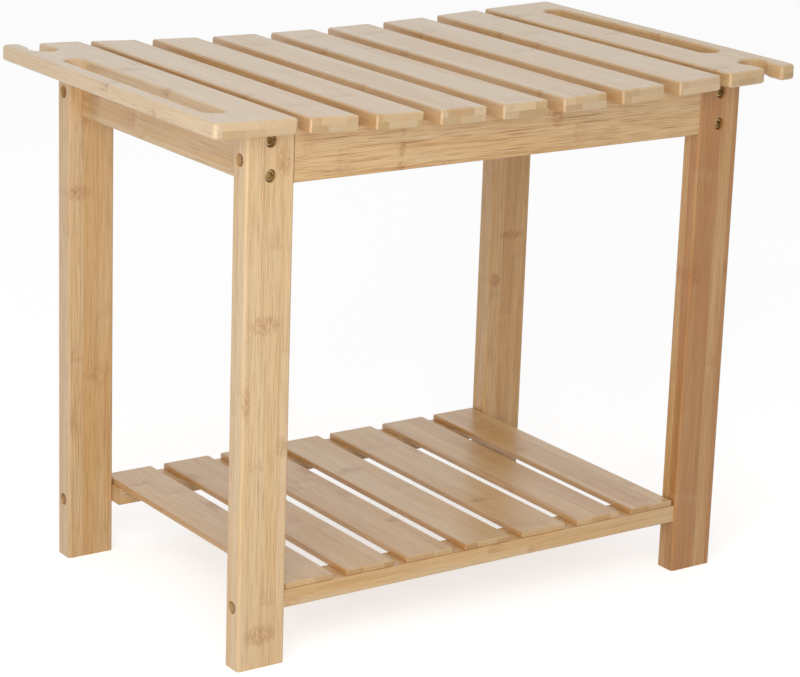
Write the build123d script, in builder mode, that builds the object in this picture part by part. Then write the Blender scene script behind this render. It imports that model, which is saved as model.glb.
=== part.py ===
from build123d import *
import os
from dataclasses import dataclass
from math import asin, cos, radians, sin, sqrt, tan

# Bath stool of laminated bamboo, in millimetres. A slightly dished seat of slats and two end boards lies
# on a frame of four flat legs, two hollow-topped aprons and two side rails, and a slatted shelf lies on
# two rails near the floor. Connector bolts with sunk heads draw the rails against the legs.
# X runs along the seat, the front is at -Y, Z is up, and the origin is on the floor under the middle.

os.makedirs("parts", exist_ok=True)

# Overall size
overall_length = 570
overall_depth = 350
overall_height = 450

# Seat: flat slats along the arc of a shallow dish, and a wider board at each end that rises less steeply
board_thickness = 12.5
slat_count = 7
slat_width = 44
end_board_width = 73
end_gap = 10
end_board_tilt = 1.9
dish_radius = 3700

# Carrying slot and keyhole notch of an end board
slot_width = 21
slot_inset = 25
slot_end_margin = 36
slot_keyhole_gap = 36.5
keyhole_diameter = 25
keyhole_neck_width = 18
keyhole_inset = 27

# Legs
leg_width = 43
leg_thickness = 20
leg_side_inset = 41.5
leg_front_inset = 22

# Aprons and side rails under the seat
rail_drop = 58
apron_thickness = 18
side_rail_thickness = 18

# Shelf
shelf_height = 65.5
shelf_slat_count = 7
shelf_slat_width = 46
shelf_slat_thickness = 5
shelf_slat_end_setback = 1
shelf_leg_clearance = 1.5
shelf_rail_width = 31
shelf_rail_height = 15
shelf_rail_setback = 2

# Rounded and eased edges
slat_ease = 1.3
end_board_ease = 1.4
end_board_corner = 5
end_board_inner_corner = 3
prong_corner = 3.5
keyhole_waist_round = 2.5
leg_round = 2.5
rail_round = 1.5
shelf_slat_ease = 0.8

# Connector bolts with a hexagon socket
bolt_diameter = 6
bolt_head_diameter = 10
bolt_head_height = 5.5
socket_width = 5
socket_depth = 3
wood_under_head = 12
bolt_reach = 24
side_bolt_low_lift = 8
side_bolt_spacing = 27
apron_bolt_lift = 20.5
shelf_bolt_lift = 6.5

# Clearances: the first two on the diameter, the last past the bolt's tip
bolt_hole_clearance = 0.4
counterbore_clearance = 0.5
bolt_tip_clearance = 1

# Seat geometry worked out from the sizes above
half_length = overall_length / 2
half_depth = overall_depth / 2
tilt = radians(end_board_tilt)
end_inner_x = half_length - end_board_width * cos(tilt)
end_inner_z = overall_height - board_thickness * cos(tilt) - end_board_width * sin(tilt)
slat_pitch = (2 * (end_inner_x - end_gap) - slat_width) / (slat_count - 1)


def arc_rise(x):
    """Height of the dish's arc over its lowest point, at a distance x from the middle."""
    return dish_radius - sqrt(dish_radius**2 - x**2)


dish_z = end_inner_z - arc_rise(end_inner_x)


def seat_underside(x):
    """Height of the seat's underside at x: the arc under the slats, then the end board's slope."""
    if abs(x) <= end_inner_x:
        return dish_z + arc_rise(x)
    return end_inner_z + (abs(x) - end_inner_x) * tan(tilt)


# Places of the frame's pieces
leg_outer_x = half_length - leg_side_inset
leg_inner_x = leg_outer_x - leg_width
leg_middle_x = leg_outer_x - leg_width / 2
leg_outer_y = half_depth - leg_front_inset
leg_inner_y = leg_outer_y - leg_thickness
leg_middle_y = leg_outer_y - leg_thickness / 2
rail_bottom = overall_height - rail_drop

# Places of the shelf's pieces
shelf_slat_bottom = shelf_height - shelf_slat_thickness
shelf_rail_bottom = shelf_slat_bottom - shelf_rail_height
shelf_rail_outer_y = leg_outer_y - shelf_rail_setback
shelf_rail_middle_y = shelf_rail_outer_y - shelf_rail_width / 2
shelf_slat_length = 2 * (shelf_rail_outer_y - shelf_slat_end_setback)
shelf_slat_pitch = (2 * (leg_inner_x - shelf_leg_clearance) - shelf_slat_width) / (shelf_slat_count - 1)

# Bores, from the bolts that they take
bolt_hole = bolt_diameter + bolt_hole_clearance
counterbore = bolt_head_diameter + counterbore_clearance

# A side is -1 on the left and 1 on the right, a row is -1 at the front and 1 at the rear
side_names = {-1: "left", 1: "right"}
row_names = {-1: "front", 1: "rear"}
corners = [(side, row) for side in side_names for row in row_names]


@dataclass
class BoltedJoint:
    """A bolt that goes in through a leg and draws a rail's end against it."""

    side: int
    row: int
    entry: Plane
    leg_run: float

    @property
    def seat_depth(self):
        """Depth of the counterbore, from the leg's outer face to the seat of the bolt's head."""
        return self.leg_run - wood_under_head

    @property
    def head_seat(self):
        """Plane on which the bolt's head sits, with z out of the leg."""
        return self.entry.offset(-self.seat_depth)


# Bolted joints of the frame
def joints_along_y(z):
    """The joint of each corner whose bolt lies along Y at height z, through the leg's thickness."""
    joints = []
    for side, row in corners:
        mouth = (side * leg_middle_x, row * leg_outer_y, z)
        entry = Plane(origin=mouth, x_dir=(1, 0, 0), z_dir=(0, row, 0))
        joints.append(BoltedJoint(side, row, entry, leg_thickness))
    return joints


def joints_along_x(z):
    """The joint of each corner whose bolt lies along X at height z, through the leg's full width."""
    joints = []
    for side, row in corners:
        mouth = (side * leg_outer_x, row * leg_middle_y, z)
        entry = Plane(origin=mouth, x_dir=(0, 1, 0), z_dir=(side, 0, 0))
        joints.append(BoltedJoint(side, row, entry, leg_width))
    return joints


side_bolt_low_z = rail_bottom + side_bolt_low_lift
side_rail_joints = joints_along_y(side_bolt_low_z) + joints_along_y(side_bolt_low_z + side_bolt_spacing)
apron_joints = joints_along_x(rail_bottom + apron_bolt_lift)
shelf_joints = joints_along_x(shelf_rail_bottom + shelf_bolt_lift)


def under_seat_profile(x_min, x_max, z_min, y_back):
    """Upright profile in the plane y = y_back, closed on top by the seat's underside."""
    with BuildSketch(Plane.XZ.offset(-y_back)) as profile:
        with BuildLine():
            Polyline(
                (-end_inner_x, end_inner_z),
                (-half_length, seat_underside(half_length)),
                (-half_length, z_min),
                (half_length, z_min),
                (half_length, seat_underside(half_length)),
                (end_inner_x, end_inner_z),
            )
            ThreePointArc((end_inner_x, end_inner_z), (0, dish_z), (-end_inner_x, end_inner_z))
        make_face()
        with Locations(((x_min + x_max) / 2, z_min)):
            Rectangle(
                x_max - x_min, overall_height, align=(Align.CENTER, Align.MIN), mode=Mode.INTERSECT
            )
    return profile.sketch


def save(piece, name):
    """Labels a finished piece and writes its file."""
    piece.part.label = name
    export_step(piece.part, f"parts/{name}.step")


# Seat slats
def slat_plane(x):
    """Upright plane across the slat at x, whose underside has both long edges on the dish's arc."""
    lean = asin(x / dish_radius)
    reach = sqrt(dish_radius**2 - (slat_width / 2) ** 2)
    underside_middle = (reach * sin(lean), half_depth, dish_z + dish_radius - reach * cos(lean))
    return Plane(origin=underside_middle, x_dir=(cos(lean), 0, sin(lean)), z_dir=(0, -1, 0))


for index in range(slat_count):
    x = slat_pitch * (index - (slat_count - 1) / 2)
    with BuildPart() as slat:
        with BuildSketch(slat_plane(x)):
            Rectangle(slat_width, board_thickness, align=(Align.CENTER, Align.MIN))
        extrude(amount=overall_depth)
        chamfer(slat.edges(), length=slat_ease)
    save(slat, f"seat_slat_{index + 1}")

# End boards: one piece used twice, turned half round, so that the notches lie at opposite ends
slot_x = end_board_width / 2 - slot_inset
keyhole_y = keyhole_inset - half_depth
slot_length = half_depth - slot_end_margin - (keyhole_y + keyhole_diameter / 2 + slot_keyhole_gap)
slot_y = half_depth - slot_end_margin - slot_length / 2


def neck_corners(outline):
    """Corners of an end board's outline on the two sides of the keyhole's neck, in rows from its mouth."""
    half_neck = keyhole_neck_width / 2
    on_neck = outline.vertices().filter_by(lambda corner: abs(abs(corner.X - slot_x) - half_neck) < 0.01)
    return on_neck.group_by(Axis.Y)


for side, side_name in side_names.items():
    middle_x = side * (end_inner_x + end_board_width / 2 * cos(tilt))
    middle_z = end_inner_z + end_board_width / 2 * sin(tilt)
    end_board_plane = Plane(
        origin=(middle_x, 0, middle_z),
        x_dir=(side * cos(tilt), 0, sin(tilt)),
        z_dir=(-side * sin(tilt), 0, cos(tilt)),
    )
    with BuildPart() as end_board:
        with BuildSketch(end_board_plane) as outline:
            Rectangle(end_board_width, overall_depth)
            fillet(outline.vertices().group_by(Axis.X)[-1], radius=end_board_corner)
            fillet(outline.vertices().group_by(Axis.X)[0], radius=end_board_inner_corner)
            with Locations((slot_x, keyhole_y)):
                Rectangle(
                    keyhole_neck_width, keyhole_inset, align=(Align.CENTER, Align.MAX), mode=Mode.SUBTRACT
                )
                Circle(keyhole_diameter / 2, mode=Mode.SUBTRACT)
            fillet(neck_corners(outline)[0], radius=prong_corner)
            fillet(neck_corners(outline)[-1], radius=keyhole_waist_round)
            with Locations((slot_x, slot_y)):
                SlotOverall(slot_length, slot_width, rotation=90, mode=Mode.SUBTRACT)
        extrude(amount=board_thickness)
        broad_faces = end_board.faces().sort_by(SortBy.AREA)[-2:]
        chamfer(broad_faces.edges(), length=end_board_ease)
    save(end_board, f"end_board_{side_name}")

# Legs, with a counterbored hole for each side rail bolt and a deep blind one for each of the others
for side, row in corners:
    x_min = side * leg_middle_x - leg_width / 2
    y_back = row * leg_middle_y + leg_thickness / 2
    with BuildPart() as leg:
        extrude(under_seat_profile(x_min, x_min + leg_width, 0, y_back), amount=leg_thickness)
        fillet(leg.edges().filter_by(Axis.Z), radius=leg_round)
        for joint in side_rail_joints:
            if (joint.side, joint.row) == (side, row):
                with Locations(joint.entry):
                    CounterBoreHole(bolt_hole / 2, counterbore / 2, joint.seat_depth, joint.leg_run)
        for joint in apron_joints + shelf_joints:
            if (joint.side, joint.row) == (side, row):
                with Locations(joint.entry):
                    Hole(counterbore / 2, joint.seat_depth)
    save(leg, f"leg_{row_names[row]}_{side_names[side]}")

# Aprons, rounded along their straight lower edges
for row, row_name in row_names.items():
    y_back = row * leg_middle_y + apron_thickness / 2
    with BuildPart() as apron:
        extrude(under_seat_profile(-leg_inner_x, leg_inner_x, rail_bottom, y_back), amount=apron_thickness)
        fillet(apron.edges().filter_by(Axis.X), radius=rail_round)
    save(apron, f"apron_{row_name}")

# Side rails, with a hole for each bolt
for side, side_name in side_names.items():
    x_min = side * leg_middle_x - side_rail_thickness / 2
    x_max = x_min + side_rail_thickness
    with BuildPart() as side_rail:
        extrude(under_seat_profile(x_min, x_max, rail_bottom, leg_inner_y), amount=2 * leg_inner_y)
        fillet(side_rail.edges().filter_by(Axis.Y).group_by(Axis.Z)[0], radius=rail_round)
        for joint in side_rail_joints:
            if joint.side == side:
                with Locations(joint.entry):
                    Hole(bolt_hole / 2, joint.leg_run + bolt_reach + bolt_tip_clearance)
    save(side_rail, f"side_rail_{side_name}")

# Shelf rails
for row, row_name in row_names.items():
    with BuildPart() as shelf_rail:
        with BuildSketch(Plane.XY.offset(shelf_rail_bottom)):
            with Locations((0, row * shelf_rail_middle_y)):
                Rectangle(2 * leg_inner_x, shelf_rail_width)
        extrude(amount=shelf_rail_height)
        fillet(shelf_rail.edges().filter_by(Axis.X), radius=rail_round)
    save(shelf_rail, f"shelf_rail_{row_name}")

# Shelf slats
for index in range(shelf_slat_count):
    x = shelf_slat_pitch * (index - (shelf_slat_count - 1) / 2)
    with BuildPart() as shelf_slat:
        with BuildSketch(Plane.XY.offset(shelf_slat_bottom)):
            with Locations((x, 0)):
                Rectangle(shelf_slat_width, shelf_slat_length)
        extrude(amount=shelf_slat_thickness)
        chamfer(shelf_slat.edges(), length=shelf_slat_ease)
    save(shelf_slat, f"shelf_slat_{index + 1}")

# Bolt head, seated at z = 0, and the bolt with its shank downwards
with BuildPart() as bolt_head:
    with BuildSketch(Plane.XY):
        Circle(bolt_head_diameter / 2)
    extrude(amount=bolt_head_height)
    with BuildSketch(Plane.XY.offset(bolt_head_height)):
        RegularPolygon(radius=socket_width / 2, side_count=6, major_radius=False)
    extrude(amount=-socket_depth, mode=Mode.SUBTRACT)

with BuildPart() as bolt:
    add(bolt_head.part)
    with BuildSketch(Plane.XY):
        Circle(bolt_diameter / 2)
    extrude(amount=-(wood_under_head + bolt_reach))


# Bolts in their places: the apron and shelf bolts lie so deep that only their heads are modelled
def place(piece, joints, name):
    """Writes one node with a copy of the piece seated at each joint."""
    with BuildPart() as placed:
        with Locations([joint.head_seat for joint in joints]):
            add(piece)
    save(placed, name)


place(bolt.part, side_rail_joints, "side_rail_bolts")
place(bolt_head.part, apron_joints, "apron_bolts")
place(bolt_head.part, shelf_joints, "shelf_bolts")
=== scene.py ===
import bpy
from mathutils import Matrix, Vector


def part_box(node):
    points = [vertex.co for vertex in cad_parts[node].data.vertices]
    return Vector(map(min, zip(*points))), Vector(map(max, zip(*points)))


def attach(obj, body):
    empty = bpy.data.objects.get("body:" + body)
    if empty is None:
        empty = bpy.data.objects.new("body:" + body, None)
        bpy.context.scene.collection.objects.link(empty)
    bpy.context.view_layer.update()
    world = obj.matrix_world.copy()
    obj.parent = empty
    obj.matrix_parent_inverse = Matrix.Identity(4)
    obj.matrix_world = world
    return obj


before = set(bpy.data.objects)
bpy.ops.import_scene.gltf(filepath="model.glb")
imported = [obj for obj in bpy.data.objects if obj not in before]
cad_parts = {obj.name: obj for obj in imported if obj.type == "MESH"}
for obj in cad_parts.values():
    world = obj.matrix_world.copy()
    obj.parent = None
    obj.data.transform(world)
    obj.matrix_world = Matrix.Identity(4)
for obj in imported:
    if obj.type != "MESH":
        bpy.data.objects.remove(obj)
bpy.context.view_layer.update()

import zlib

import bmesh
import bpy
import numpy as np
from mathutils import Matrix, Vector

# Looks of a slatted bath stool of laminated bamboo. The boards, legs, rails and bolts are the packed
# model's own solids, which get their finishes here, and the small fittings on them are made here.

MM = 0.001


# Camera, as the photograph was taken: lengths in metres, the lens in millimetres
camera_place = Vector((-1.2667, -1.8369, 0.8592))
camera_heading = np.radians(35.098)
camera_dip = np.radians(15.557)
camera_roll = np.radians(-2.064)
camera_lens = 121.18
camera_shift = (-0.02135, -0.05)

ahead = Vector((np.sin(camera_heading), np.cos(camera_heading), -np.tan(camera_dip))).normalized()
level_right = ahead.cross(Vector((0, 0, 1))).normalized()
level_down = ahead.cross(level_right)
right = level_right * np.cos(camera_roll) + level_down * np.sin(camera_roll)
upwards = right.cross(ahead)

camera = bpy.data.objects.new("camera", bpy.data.cameras.new("camera"))
camera.data.sensor_width = 36
camera.data.lens = camera_lens
camera.data.shift_x, camera.data.shift_y = camera_shift
camera.matrix_world = Matrix.LocRotScale(camera_place, Matrix((right, upwards, -ahead)).transposed(), None)
bpy.context.scene.collection.objects.link(camera)
bpy.context.scene.camera = camera
bpy.context.scene.view_settings.view_transform = "Standard"


# Shader arithmetic
class Value:
    """An output in a node tree. Python's arithmetic on it adds Math nodes."""

    def __init__(self, finish, socket):
        self.finish = finish
        self.socket = socket

    def output(self, name):
        """Another output of the same node."""
        return Value(self.finish, self.socket.node.outputs[name])

    def math(self, operation, *terms):
        """A Math node on the given terms."""
        return self.finish.node("ShaderNodeMath", {"operation": operation}, dict(enumerate(terms)))

    def __add__(self, other):
        return self.math("ADD", self, other)

    def __sub__(self, other):
        return self.math("SUBTRACT", self, other)

    def __rsub__(self, other):
        return self.math("SUBTRACT", other, self)

    def __mul__(self, other):
        return self.math("MULTIPLY", self, other)

    def __truediv__(self, other):
        return self.math("DIVIDE", self, other)

    def __rtruediv__(self, other):
        return self.math("DIVIDE", other, self)

    def __rpow__(self, base):
        return self.math("POWER", base, self)

    def __neg__(self):
        return self.math("MULTIPLY", self, -1)

    def __abs__(self):
        return self.math("ABSOLUTE", self)

    __radd__ = __add__
    __rmul__ = __mul__

    def floor(self):
        """The whole number at or below the value."""
        return self.math("FLOOR", self)

    def fraction(self):
        """What is left of the value above its whole number."""
        return self.math("FRACT", self)

    def sine(self):
        """The sine of the value in radians."""
        return self.math("SINE", self)

    def highest(self, other):
        """The greater of two values."""
        return self.math("MAXIMUM", self, other)

    def lowest(self, other):
        """The lesser of two values."""
        return self.math("MINIMUM", self, other)

    def bell(self, width):
        """1 where the value is 0, falling to 0.37 at a distance of width on each side."""
        share = self / width
        return np.e ** -(share * share)

    def zigzag(self, height):
        """Rises from 0 to height and falls back to 0, over and over."""
        return self.math("PINGPONG", self, height)

    def step(self, start, end):
        """0 up to start and 1 from end on, with a soft step between them; start may be the greater."""
        settings = {"interpolation_type": "SMOOTHSTEP"}
        stops = {"Value": self, "From Min": start, "From Max": end}
        return self.finish.node("ShaderNodeMapRange", settings, stops)


# Numbers of a Mix node's sockets for colours, whose names its other kinds share
MIX_FACTOR, MIX_FIRST, MIX_SECOND, MIX_RESULT = 0, 6, 7, 2


class Finish:
    """The node tree of a material or of the surroundings."""

    def __init__(self, owner):
        owner.use_nodes = True
        self.owner = owner
        self.tree = owner.node_tree
        self.tree.nodes.clear()

    def node(self, kind, settings={}, inputs={}, output=0):
        """Adds a node: its settings first, then the value or the link of each named or numbered input."""
        node = self.tree.nodes.new(kind)
        for name, setting in settings.items():
            if name == "stops":
                self.set_stops(node.color_ramp, setting)
            else:
                setattr(node, name, setting)
        for name, given in inputs.items():
            if isinstance(given, Value):
                self.tree.links.new(given.socket, node.inputs[name])
            else:
                node.inputs[name].default_value = given
        return Value(self, node.outputs[output]) if len(node.outputs) else node

    def set_stops(self, ramp, stops):
        """Gives a ramp its (place, colour) stops."""
        for place, _ in stops[2:]:
            ramp.elements.new(place)
        for element, (place, colour) in zip(ramp.elements, stops):
            element.position = place
            element.color = (*colour, 1)

    def point(self, *parts):
        """A vector from three values or numbers."""
        return self.node("ShaderNodeCombineXYZ", {}, dict(enumerate(parts)))

    def mix(self, share, first, second):
        """A colour between two, at a share of the second."""
        first, second = [(*c, 1) if isinstance(c, tuple) else c for c in (first, second)]
        inputs = {MIX_FACTOR: share, MIX_FIRST: first, MIX_SECOND: second}
        return self.node("ShaderNodeMix", {"data_type": "RGBA"}, inputs, MIX_RESULT)

    def scaled(self, vector, factor):
        """A colour or a place times a value."""
        inputs = {"Vector": vector, "Scale": factor}
        return self.node("ShaderNodeVectorMath", {"operation": "SCALE"}, inputs)

    def noise(self, place, detail=2, roughness=0.5):
        """Soft noise about 0.5, with features about one unit of the place across."""
        inputs = {"Vector": place, "Scale": 1, "Detail": detail, "Roughness": roughness}
        return self.node("ShaderNodeTexNoise", {}, inputs)

    def surface(self, inputs):
        """Ends a material in one glossy or metal surface."""
        shader = self.node("ShaderNodeBsdfPrincipled", {}, inputs)
        self.node("ShaderNodeOutputMaterial", {}, {"Surface": shader})
        return self.owner

    def object_place(self):
        """The place on the object, in millimetres."""
        return self.scaled(self.node("ShaderNodeTexCoord").output("Object"), 1 / MM)


def linear(red, green, blue):
    """A colour in screen values from 0 to 255, in the linear values that shaders take."""
    shares = np.array((red, green, blue)) / 255
    curved = ((shares + 0.055) / 1.055) ** 2.4
    return tuple(float(c) for c in np.where(shares <= 0.04045, shares / 12.92, curved))


# Colours of bamboo, as stops from a pale strip at 0 to a toasted one at 1, and of what marks it
pale_strip = linear(231, 203, 164)
straw_strip = linear(228, 195, 148)
golden_strip = linear(216, 173, 114)
toasted_strip = linear(184, 127, 68)
strip_tones = [(0, pale_strip), (0.3, straw_strip), (0.62, golden_strip), (1, toasted_strip)]
# The fibre brown also serves as the painted shade on the long edges of slats, for the shadow in the gaps
fibre_and_shade_brown = linear(172, 110, 50)
knot_brown = linear(160, 94, 40)
glue_line = linear(150, 108, 68)

# Lengths along the grain and widths across it, in millimetres
fibre_length, fibre_width = 90, 1.15
hair_length, hair_width = 30, 0.55
drift_length, drift_width, drift_reach = 38, 7, 1.2
cloud_length, cloud_width = 130, 9
speck_length, speck_width = 3.5, 0.8
waver_width, waver_reach = 5, 9
strip_shift, speck_shift = 37, 11
knot_line_width = 1.8
speck_band_place, speck_band_width = 5, 7
light_band_place, light_band_width = 6, 5
long_edge_start, long_edge_end = 1.6, 0.4
glue_line_width = 0.28
bundle_size = 0.85
relief_depth = 0.15

# Shares of a strip's width
strip_unevenness, layer_shift = 0.12, 0.43

# Shares of each colour and shade
fibre_share, hair_share = 0.36, 0.3
hair_contrast, toasted_contrast = 0.26, 0.28
knot_line_share, speck_band_share = 0.4, 0.7
oval_share, oval_speck_share = 0.14, 0.8
light_band_share = 0.3
glue_line_share = 0.14
end_dot_share = 0.16
end_shade, end_layer_shade, end_strip_shade = 0.1, 0.16, 0.12

# Axes along a board's grain, across it and through it
lying_along_y = ("Y", "X", "Z")
standing = ("Z", "X", "Y")
apron_way = ("X", "Z", "Y")
side_rail_way = ("Y", "Z", "X")
shelf_rail_way = ("X", "Y", "Z")

# Knots seen in the photograph: how far along the grain and across it from the board's middle they lie, half
# their length, half their width and their strength
seen_knots = {
    "leg_front_left": (
        (65, -2, 7, 13, 0.9), (-36, 15, 8, 5, 0.9), (3, -18, 10, 3, 0.9), (192, 12, 11, 6, 1),
        (-190, -2, 8, 13, 0.9), (95, -17, 140, 1.5, 0.45),
    ),
    "leg_front_right": ((51, -16, 9, 7, 1), (55, 19, 6, 4, 1)),
    "leg_rear_left": ((109, -12, 6, 10, 0.9), (177, -7, 13, 4, 0.9), (-55, 9, 10, 9, 0.5)),
    "leg_rear_right": ((20, 3, 4, 13, 1), (-23, -15, 6, 6, 1)),
    "apron_front": (
        (-101.5, -4, 3, 6, 0.9), (-102.5, -18, 4, 4, 0.9), (-101.5, 11, 3, 5, 0.5), (50, 8, 6, 8, 1),
    ),
    "side_rail_left": ((112, 2, 9, 24, 0.7),),
    "seat_slat_5": ((-141, -21, 3, 3, 1),),
    "seat_slat_6": ((-19, 11, 2, 6, 0.5),),
    "seat_slat_7": ((76, -21, 3, 3, 1),),
    "shelf_slat_1": ((34, 19, 10, 6, 1), (112, -12, 4, 12, 0.8)),
    "shelf_slat_2": ((106, -19, 10, 6, 1),),
    "shelf_slat_3": ((71, 19, 12, 6, 1), (-71, 17, 5, 7, 1)),
    "shelf_slat_4": ((54, -4, 5, 14, 0.9),),
    "shelf_slat_5": ((-66, -7, 5, 10, 1), (69, 20, 10, 5, 1)),
    "shelf_slat_7": ((25, -13, 5, 9, 1),),
}


def board_place(finish, name, way, lean):
    """Where a place lies on a board, and the board's width and thickness, in millimetres.

    The place is measured from the board's middle: along its grain, across it and through it.
    """
    low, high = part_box(name)
    size = (np.array(high) - np.array(low)) / MM
    width, thickness = [size["XYZ".index(axis)] for axis in way[1:]]
    centre = tuple(float(c) for c in (np.array(high) + np.array(low)) / 2)
    inputs = {"Location": centre, "Rotation": (0, -lean, 0), "Scale": (MM, MM, MM)}
    inputs["Vector"] = finish.node("ShaderNodeTexCoord").output("Object")
    on_board = finish.node("ShaderNodeMapping", {"vector_type": "TEXTURE"}, inputs)
    board = finish.node("ShaderNodeSeparateXYZ", {}, {"Vector": on_board})
    return [board.output(axis) for axis in way] + [width, thickness]


def glued_strips(across, through, strip_width, layer_thickness, layers, seed):
    """The numbers of the strip and of the layer at a place, and the distance to the nearest glue line.

    A layer's number is through / layer_thickness, rounded down. Its strips are shifted from the next
    layer's, and a sine makes them a little uneven in width.
    """
    layer = (through / layer_thickness + layers / 2 + seed).floor()
    uneven = (across * (2.1 / strip_width) + layer * 2 + seed).sine() * strip_unevenness
    strip_place = across / strip_width + uneven + layer * layer_shift + seed
    return strip_place.floor(), layer, strip_place.zigzag(0.5) * strip_width


def strip_chances(finish, strip, layer, seed):
    """Three chances from 0 to 1, each the same all over a strip."""
    inputs = {"Vector": finish.point(strip, layer, seed)}
    chance = finish.node("ShaderNodeTexWhiteNoise", {}, inputs, "Color")
    parts = finish.node("ShaderNodeSeparateColor", {}, {"Color": chance})
    return [parts.output(part) for part in ("Red", "Green", "Blue")]


def placed_knots(along, across, waver, specks, places):
    """Knots at given places: ovals of specks, which fade out at 1.4 times their half length and width."""
    knots = 0
    for knot_along, knot_across, half_length, half_width, strength in places:
        length_share = (along - knot_along + waver * 0.3) / half_length
        width_share = (across - knot_across) / half_width
        oval = (length_share * length_share + width_share * width_share).step(2, 0)
        knots = knots + oval * (oval_share + specks.step(0.42, 0.54) * oval_speck_share) * strength
    return knots


def end_grain(finish, across, through, grain_axis):
    """1 on a board's ends and 0 elsewhere, and the dots that cut bundles of fibres make on the ends."""
    normal = finish.node("ShaderNodeTexCoord").output("Normal")
    facing = finish.node("ShaderNodeSeparateXYZ", {}, {"Vector": normal}).output(grain_axis)
    on_end = abs(facing).step(0.75, 0.95)
    inputs = {"Vector": finish.point(across / bundle_size, through / bundle_size, 0), "Scale": 1}
    from_bundle = finish.node("ShaderNodeTexVoronoi", {}, inputs, "Distance")
    return on_end, from_bundle.step(0.42, 0.12) * on_end


def bamboo(name, way, lean, tone, strip_width, layers, spread, knot_gap, grain, knots=1, painted_gap_shade=0):
    """Lacquered laminated bamboo for one board, in the board's own millimetres.

    The board is glued from layers through its thickness and strips across its width. tone goes from 0,
    pale, to 1, toasted, and each strip departs from it by chance, over spread. Every strip has a knot at
    each knot_gap, as strong as knots says, and the board also has its seen_knots. Fibres and finer hairs
    are noise drawn out along the grain, as strong as grain says. Painted shade darkens the long edges
    and side faces, standing in for the shadow in the gaps between slats, as strong as the last argument
    says.
    """
    seed = zlib.crc32(name.encode()) % 97
    finish = Finish(bpy.data.materials.new("bamboo_" + name))
    along, across, through, width, thickness = board_place(finish, name, way, lean)
    strip, layer, from_glue = glued_strips(across, through, strip_width, thickness / layers, layers, seed)
    glue = from_glue.bell(glue_line_width)
    tone_chance, knot_chance, hue_chance = strip_chances(finish, strip, layer, seed)

    # Fibres, hairs, slow changes of tone, specks and how far a knot strays from its line
    shifted = along + strip * strip_shift
    drift_place = finish.point(along / drift_length, across / drift_width, through / drift_width)
    drifted = across + (finish.noise(drift_place, 1, 0.5) - 0.5) * drift_reach
    fibre_place = finish.point(shifted / fibre_length, drifted / fibre_width, through / fibre_width)
    fibres = finish.noise(fibre_place, 3, 0.6)
    hair_place = finish.point(shifted / hair_length, drifted / hair_width, through / hair_width + strip)
    hairs = finish.noise(hair_place, 2, 0.55)
    cloud_place = finish.point(shifted / cloud_length, across / cloud_width, through / cloud_width + seed)
    clouds = finish.noise(cloud_place, 2, 0.5)
    speck_along = along / speck_length + strip * speck_shift
    specks = finish.noise(finish.point(speck_along, across / speck_width, through / speck_width), 1, 0.5)
    waver_place = finish.point(across / waver_width, through / waver_width, strip * 3)
    waver = (finish.noise(waver_place, 1, 0.5) - 0.5) * waver_reach

    # Knots: a thin line, with a band of specks on one side of it and a light band on the other
    from_knot = ((along / knot_gap + knot_chance * 5).fraction() - 0.5) * knot_gap + waver
    speck_band = (from_knot - speck_band_place).bell(speck_band_width) * specks.step(0.42, 0.62)
    knot = from_knot.bell(knot_line_width) * knot_line_share + speck_band * speck_band_share
    knot = knot * knots + placed_knots(along, across, waver, specks, seen_knots.get(name, ()))
    knot = knot.lowest(1)
    light_share = light_band_share * knots * (1 - 0.7 * tone)
    light_band = (from_knot + light_band_place).bell(light_band_width) * light_share

    # Colour
    strip_tone = (tone_chance - 0.5) * spread + (clouds - 0.5) * 0.5 + tone
    colour = finish.node("ShaderNodeValToRGB", {"stops": strip_tones}, {"Fac": strip_tone})
    streaks = fibres.step(0.5, 0.72) * fibre_share + hairs.step(0.54, 0.66) * hair_share
    colour = finish.mix(streaks * (0.6 + hue_chance * 0.5) * grain, colour, fibre_and_shade_brown)
    contrast = (0.5 - hairs) * hair_contrast - streaks * (toasted_contrast * tone)
    colour = finish.scaled(colour, 1 + contrast * grain)
    colour = finish.mix(light_band, colour, pale_strip)
    colour = finish.mix(knot * (0.46 + hue_chance * 0.2), colour, knot_brown)
    colour = finish.mix(glue * glue_line_share, colour, glue_line)
    # Painted shade: the long edges and side faces darken towards brown, standing in for the shadow in the
    # gaps between slats
    painted_shade_on_long_edge = abs(across).step(width / 2 - long_edge_start, width / 2 - long_edge_end)
    colour = finish.mix(painted_shade_on_long_edge * painted_gap_shade, colour, fibre_and_shade_brown)

    # Ends, where each layer and strip has its own shade
    on_end, dots = end_grain(finish, across, through, way[0])
    colour = finish.mix(dots * end_dot_share, colour, fibre_and_shade_brown)
    end_tone = (layer * 0.5).fraction() * end_layer_shade + (tone_chance - 0.5) * end_strip_shade
    colour = finish.scaled(colour, 1 - on_end * (end_tone + end_shade) + (clouds - 0.5) * 0.1)

    # Lacquer
    roughness = 0.34 + (clouds - 0.5) * 0.16 + knot * 0.08 + on_end * 0.12
    height = fibres * 0.5 + hairs * 0.2 - glue * 0.3 + knot * 0.25 - dots * 0.3
    inputs = {"Strength": 0.35, "Distance": relief_depth * MM, "Height": height}
    relief = finish.node("ShaderNodeBump", {}, inputs)
    lacquer = {"IOR": 1.5, "Coat Weight": 0.4, "Coat Roughness": 0.3}
    return finish.surface({"Base Color": colour, "Roughness": roughness, "Normal": relief, **lacquer})


# Zinc plating: how fine its tarnish and its grit are, per millimetre
tarnish_fineness, grit_fineness = 0.35, 4
grit_depth = 0.05


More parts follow.
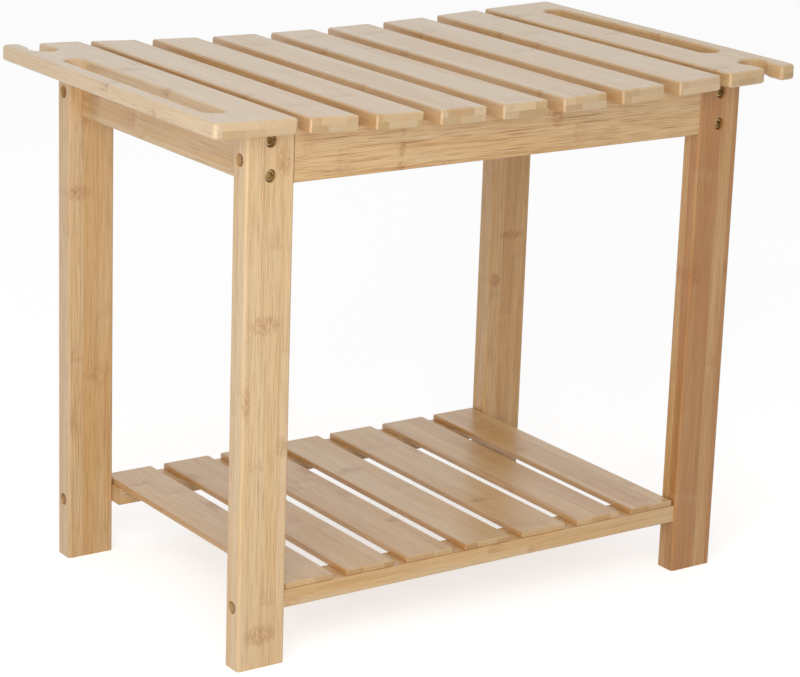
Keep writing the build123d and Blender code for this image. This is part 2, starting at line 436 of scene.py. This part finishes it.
def zinc(name, bright, dull):
    """Zinc plating: clouds of tarnish between a bright and a dull colour, and fine grit."""
    finish = Finish(bpy.data.materials.new(name))
    place = finish.object_place()
    tarnish = finish.noise(finish.scaled(place, tarnish_fineness), 3, 0.6)
    grit = finish.noise(finish.scaled(place, grit_fineness), 2, 0.6)
    colour = finish.mix(tarnish.step(0.4, 0.65), bright, dull)
    inputs = {"Strength": 0.3, "Distance": grit_depth * MM, "Height": grit}
    relief = finish.node("ShaderNodeBump", {}, inputs)
    roughness = 0.34 + (tarnish - 0.5) * 0.3 + (grit - 0.5) * 0.15
    return finish.surface({"Base Color": colour, "Metallic": 1.0, "Roughness": roughness, "Normal": relief})


yellow_zinc = zinc("yellow_zinc", linear(184, 164, 122), linear(134, 108, 76))
bright_zinc = zinc("bright_zinc", linear(205, 203, 198), linear(150, 147, 140))


def dress(node, material):
    """Gives a CAD node its finish in every material slot."""
    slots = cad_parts[node].data.materials
    if not len(slots):
        slots.append(material)
    for index in range(len(slots)):
        slots[index] = material


def dress_board(name, way, lean, tone, wood):
    """Gives a board its bamboo."""
    dress(name, bamboo(name, way, lean, tone, **wood))


# The bamboo of each kind of board: strip widths and gaps between knots in millimetres
# The seat's and the shelf's slats get painted shade on their long edges, for the shadow in the gaps between
# them
seat_wood = dict(strip_width=22, layers=2, spread=0.4, knot_gap=300, grain=0.75, knots=0.8, painted_gap_shade=0.25)
shelf_wood = dict(strip_width=23, layers=1, spread=0.35, knot_gap=230, grain=0.9, knots=0.6, painted_gap_shade=0.3)
end_board_wood = dict(strip_width=21, layers=2, spread=0.35, knot_gap=280, grain=0.75)
side_rail_wood = dict(strip_width=19, layers=3, spread=0.4, knot_gap=250, grain=1.1, knots=0.8)
apron_wood = dict(strip_width=20, layers=3, spread=0.35, knot_gap=230, grain=1.55, knots=0.4)
shelf_rail_wood = dict(strip_width=19, layers=2, spread=0.35, knot_gap=240, grain=1)
leg_wood = dict(strip_width=15, layers=2, spread=0.3, knot_gap=290, grain=1.25, knots=0.45)

seat_tone, shelf_tone = 0.28, 0.54
end_board_tones = {"left": 0.2, "right": 0.34}
side_rail_toning = 0.14
apron_tones = {"front": 0.4, "rear": 0.46}
leg_tones = {"leg_front_left": 0.26, "leg_rear_left": 0.5, "leg_front_right": 0.88, "leg_rear_right": 0.64}

# The seat's slats lean along an arc of this radius in metres, and the end boards at one angle
dish_radius = 3.7
end_board_leans = {"left": -np.radians(1.9), "right": np.radians(1.9)}

for number in range(1, 8):
    seat_name, shelf_name = f"seat_slat_{number}", f"shelf_slat_{number}"
    low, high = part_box(seat_name)
    lean = np.arcsin((low[0] + high[0]) / 2 / dish_radius)
    dress_board(seat_name, lying_along_y, lean, seat_tone, seat_wood)
    dress_board(shelf_name, lying_along_y, 0, shelf_tone, shelf_wood)
for side, tone in end_board_tones.items():
    dress_board(f"end_board_{side}", lying_along_y, end_board_leans[side], tone, end_board_wood)
    dress_board(f"side_rail_{side}", side_rail_way, 0, tone + side_rail_toning, side_rail_wood)
for row, tone in apron_tones.items():
    dress_board(f"apron_{row}", apron_way, 0, tone, apron_wood)
    dress_board(f"shelf_rail_{row}", shelf_rail_way, 0, tone, shelf_rail_wood)
for leg, tone in leg_tones.items():
    dress_board(leg, standing, 0, tone, leg_wood)
for rail in ("side_rail", "apron", "shelf"):
    dress(f"{rail}_bolts", yellow_zinc)


# Bolt crowns and screw heads, in millimetres. Their feet reach a little way into what they stand on.
turn_count = 48
foot_depth = 0.05


def turned_ring(places, profile, name, material):
    """Carries a closed profile round an axis at each place.

    profile(angles) gives the distances from the axis and the heights of the profile's points, with a row
    for each point and a column for each angle. A point is place + distance * (cos(angle) * side +
    sin(angle) * other_side) + height * axis. The last point joins the first, so that the ring is closed.
    """
    angles = np.linspace(0, 2 * np.pi, turn_count, endpoint=False)
    distance, height = profile(angles)
    steps, turns = distance.shape
    points, faces = [], []
    for place, axis in places:
        axis = np.array(axis, float)
        side = np.cross(axis, (0, 0, 1) if abs(axis[2]) < 0.5 else (1, 0, 0))
        other_side = np.cross(axis, side)
        spokes = np.cos(angles)[:, None] * side + np.sin(angles)[:, None] * other_side
        ring = np.array(place) + distance[..., None] * spokes + height[..., None] * axis
        step, turn = np.meshgrid(np.arange(steps), np.arange(turns), indexing="ij")
        next_step, next_turn = (step + 1) % steps, (turn + 1) % turns
        corners = [(step, turn), (step, next_turn), (next_step, next_turn), (next_step, turn)]
        first = sum(len(some) for some in points)
        faces.append(np.stack([first + s * turns + t for s, t in corners], -1).reshape(-1, 4))
        points.append(ring.reshape(-1, 3))
    mesh = bpy.data.meshes.new(name)
    mesh.from_pydata(np.concatenate(points) * MM, [], np.concatenate(faces).tolist())
    merged = bmesh.new()
    merged.from_mesh(mesh)
    bmesh.ops.remove_doubles(merged, verts=merged.verts, dist=0.001 * MM)
    bmesh.ops.recalc_face_normals(merged, faces=merged.faces)
    merged.to_mesh(mesh)
    merged.free()
    mesh.materials.append(material)
    piece = bpy.data.objects.new(name, mesh)
    bpy.context.scene.collection.objects.link(piece)
    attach(piece, "root")


head_radius = 5
head_rim = 0.05
socket_width = 5
crown_height = 0.9
crown_steps = 9


def bolt_crown(angles):
    """A domed crown on a bolt's flat head, round a hexagon hole.

    Between the hexagon's edge and the head's rim, height = crown_height * (1 - (distance / head_radius)^2).
    The first and the last point are the crown's foot.
    """
    hexagon = socket_width / 2 / np.cos(np.mod(angles, np.pi / 3) - np.pi / 6)
    share = np.concatenate([[0], np.linspace(0, 1, crown_steps), [1]])[:, None]
    distance = hexagon + share * (head_radius - head_rim - hexagon)
    dome = crown_height * (1 - (distance / head_radius) ** 2)
    on_foot = np.arange(crown_steps + 2)[:, None] % (crown_steps + 1) == 0
    return distance, np.where(on_foot, -foot_depth, dome)


leg_middle_x, leg_outer_x = 222, 243.5
leg_middle_y, leg_outer_y = 143, 153
head_top_depth = 2.5
deep_head_top_depth = 25.5
side_rail_bolt_heights = (400, 427)
apron_and_shelf_bolt_heights = (412.5, 52)
crowns = []
for side in (-1, 1):
    for row in (-1, 1):
        for z in side_rail_bolt_heights:
            crowns.append(((side * leg_middle_x, row * (leg_outer_y - head_top_depth), z), (0, row, 0)))
        for z in apron_and_shelf_bolt_heights:
            x = side * (leg_outer_x - deep_head_top_depth)
            crowns.append(((x, row * leg_middle_y, z), (side, 0, 0)))
turned_ring(crowns, bolt_crown, "bolt_crowns", yellow_zinc)

screw_radius = 3.6
screw_rise = 1.3
screw_steps = 15
recess_half_width = 0.55
recess_reach = 2.1
recess_share = 0.75


def screw_head(angles):
    """A domed round screw head with a cross recess.

    The dome is screw_rise * (1 - share^2)^0.5 high at a share of the radius. The cross is
    exp(-(narrow / recess_half_width)^4) * exp(-(long / recess_reach)^6), where narrow is the lesser and
    long the greater distance from the head's two middle lines, and it takes recess_share of the rise away.
    """
    share = np.linspace(0, 1, screw_steps)[:, None]
    distance = share * screw_radius + 0 * angles
    one_way, other_way = np.abs(distance * np.cos(angles)), np.abs(distance * np.sin(angles))
    narrow, long = np.minimum(one_way, other_way), np.maximum(one_way, other_way)
    cross = np.exp(-((narrow / recess_half_width) ** 4)) * np.exp(-((long / recess_reach) ** 6))
    recess = recess_share * screw_rise * cross * (share < 0.9)
    dome = screw_rise * (1 - share**2) ** 0.5
    foot = np.full((2, 1), -foot_depth) + 0 * angles
    return np.concatenate([distance, distance[-1:], distance[:1]]), np.concatenate([dome - recess, foot])


rail_underside = 392
shelf_rail_underside = 45.5
shelf_screw_y = 135.5
side_rail_screw_y = 80
downwards = (0, 0, -1)
seat_screws, shelf_screws = [], []
for number in range(1, 8):
    low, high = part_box(f"seat_slat_{number}")
    slat_x = (low[0] + high[0]) / 2 / MM
    low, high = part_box(f"shelf_slat_{number}")
    shelf_slat_x = (low[0] + high[0]) / 2 / MM
    for row in (-1, 1):
        seat_screws.append(((slat_x, row * leg_middle_y, rail_underside), downwards))
        shelf_screws.append(((shelf_slat_x, row * shelf_screw_y, shelf_rail_underside), downwards))
for side in (-1, 1):
    for row in (-1, 1):
        seat_screws.append(((side * leg_middle_x, row * side_rail_screw_y, rail_underside), downwards))
turned_ring(seat_screws + shelf_screws, screw_head, "wood_screw_heads", bright_zinc)


# Floor, surroundings and lamp, in metres
def seen_directly(finish):
    """1 for what the camera sees straight on, in a reflection or through glass."""
    path = finish.node("ShaderNodeLightPath")
    kinds = ("Is Camera Ray", "Is Glossy Ray", "Is Transmission Ray")
    camera_ray, glossy_ray, through_ray = [path.output(kind) for kind in kinds]
    return camera_ray.highest(glossy_ray).highest(through_ray)


soft_light = 0.45
world = bpy.data.worlds.new("studio")
bpy.context.scene.world = world
studio = Finish(world)
strength = seen_directly(studio) * (1 - soft_light) + soft_light
background = studio.node("ShaderNodeBackground", {}, {"Color": (1, 1, 1, 1), "Strength": strength})
studio.node("ShaderNodeOutputWorld", {}, {"Surface": background})

floor_size = 14
floor_sink = 0.05
floor_grey = (0.75, 0.75, 0.75, 1)
floor_glow = 0.62
floor_mesh = bpy.data.meshes.new("floor")
corners = np.array([(-1, -1, 0), (1, -1, 0), (1, 1, 0), (-1, 1, 0)]) * floor_size / 2
floor_mesh.from_pydata(corners - (0, 0, floor_sink * MM), [], [(0, 1, 2, 3)])
floor = bpy.data.objects.new("floor", floor_mesh)
bpy.context.scene.collection.objects.link(floor)
paper = Finish(bpy.data.materials.new("pale_paper"))
matt = paper.node("ShaderNodeBsdfDiffuse", {}, {"Color": floor_grey})
glow = seen_directly(paper) * floor_glow
white = paper.node("ShaderNodeEmission", {}, {"Color": (1, 1, 1, 1), "Strength": glow})
lit = paper.node("ShaderNodeAddShader", {}, {0: matt, 1: white})
paper.node("ShaderNodeOutputMaterial", {}, {"Surface": lit})
floor_mesh.materials.append(paper.owner)


def soft_lamp(name, place, aim, width, power):
    """A square lamp that looks from its place at its aim."""
    lamp = bpy.data.lights.new(name, "AREA")
    lamp.size = width
    lamp.energy = power
    lamp_object = bpy.data.objects.new(name, lamp)
    lamp_object.location = place
    lamp_object.rotation_euler = (Vector(aim) - Vector(place)).to_track_quat("-Z", "Y").to_euler()
    bpy.context.scene.collection.objects.link(lamp_object)


soft_lamp("key_lamp", place=(-1.05, -1.1, 0.78), aim=(-0.1, 0, 0.26), width=1.3, power=14.2)
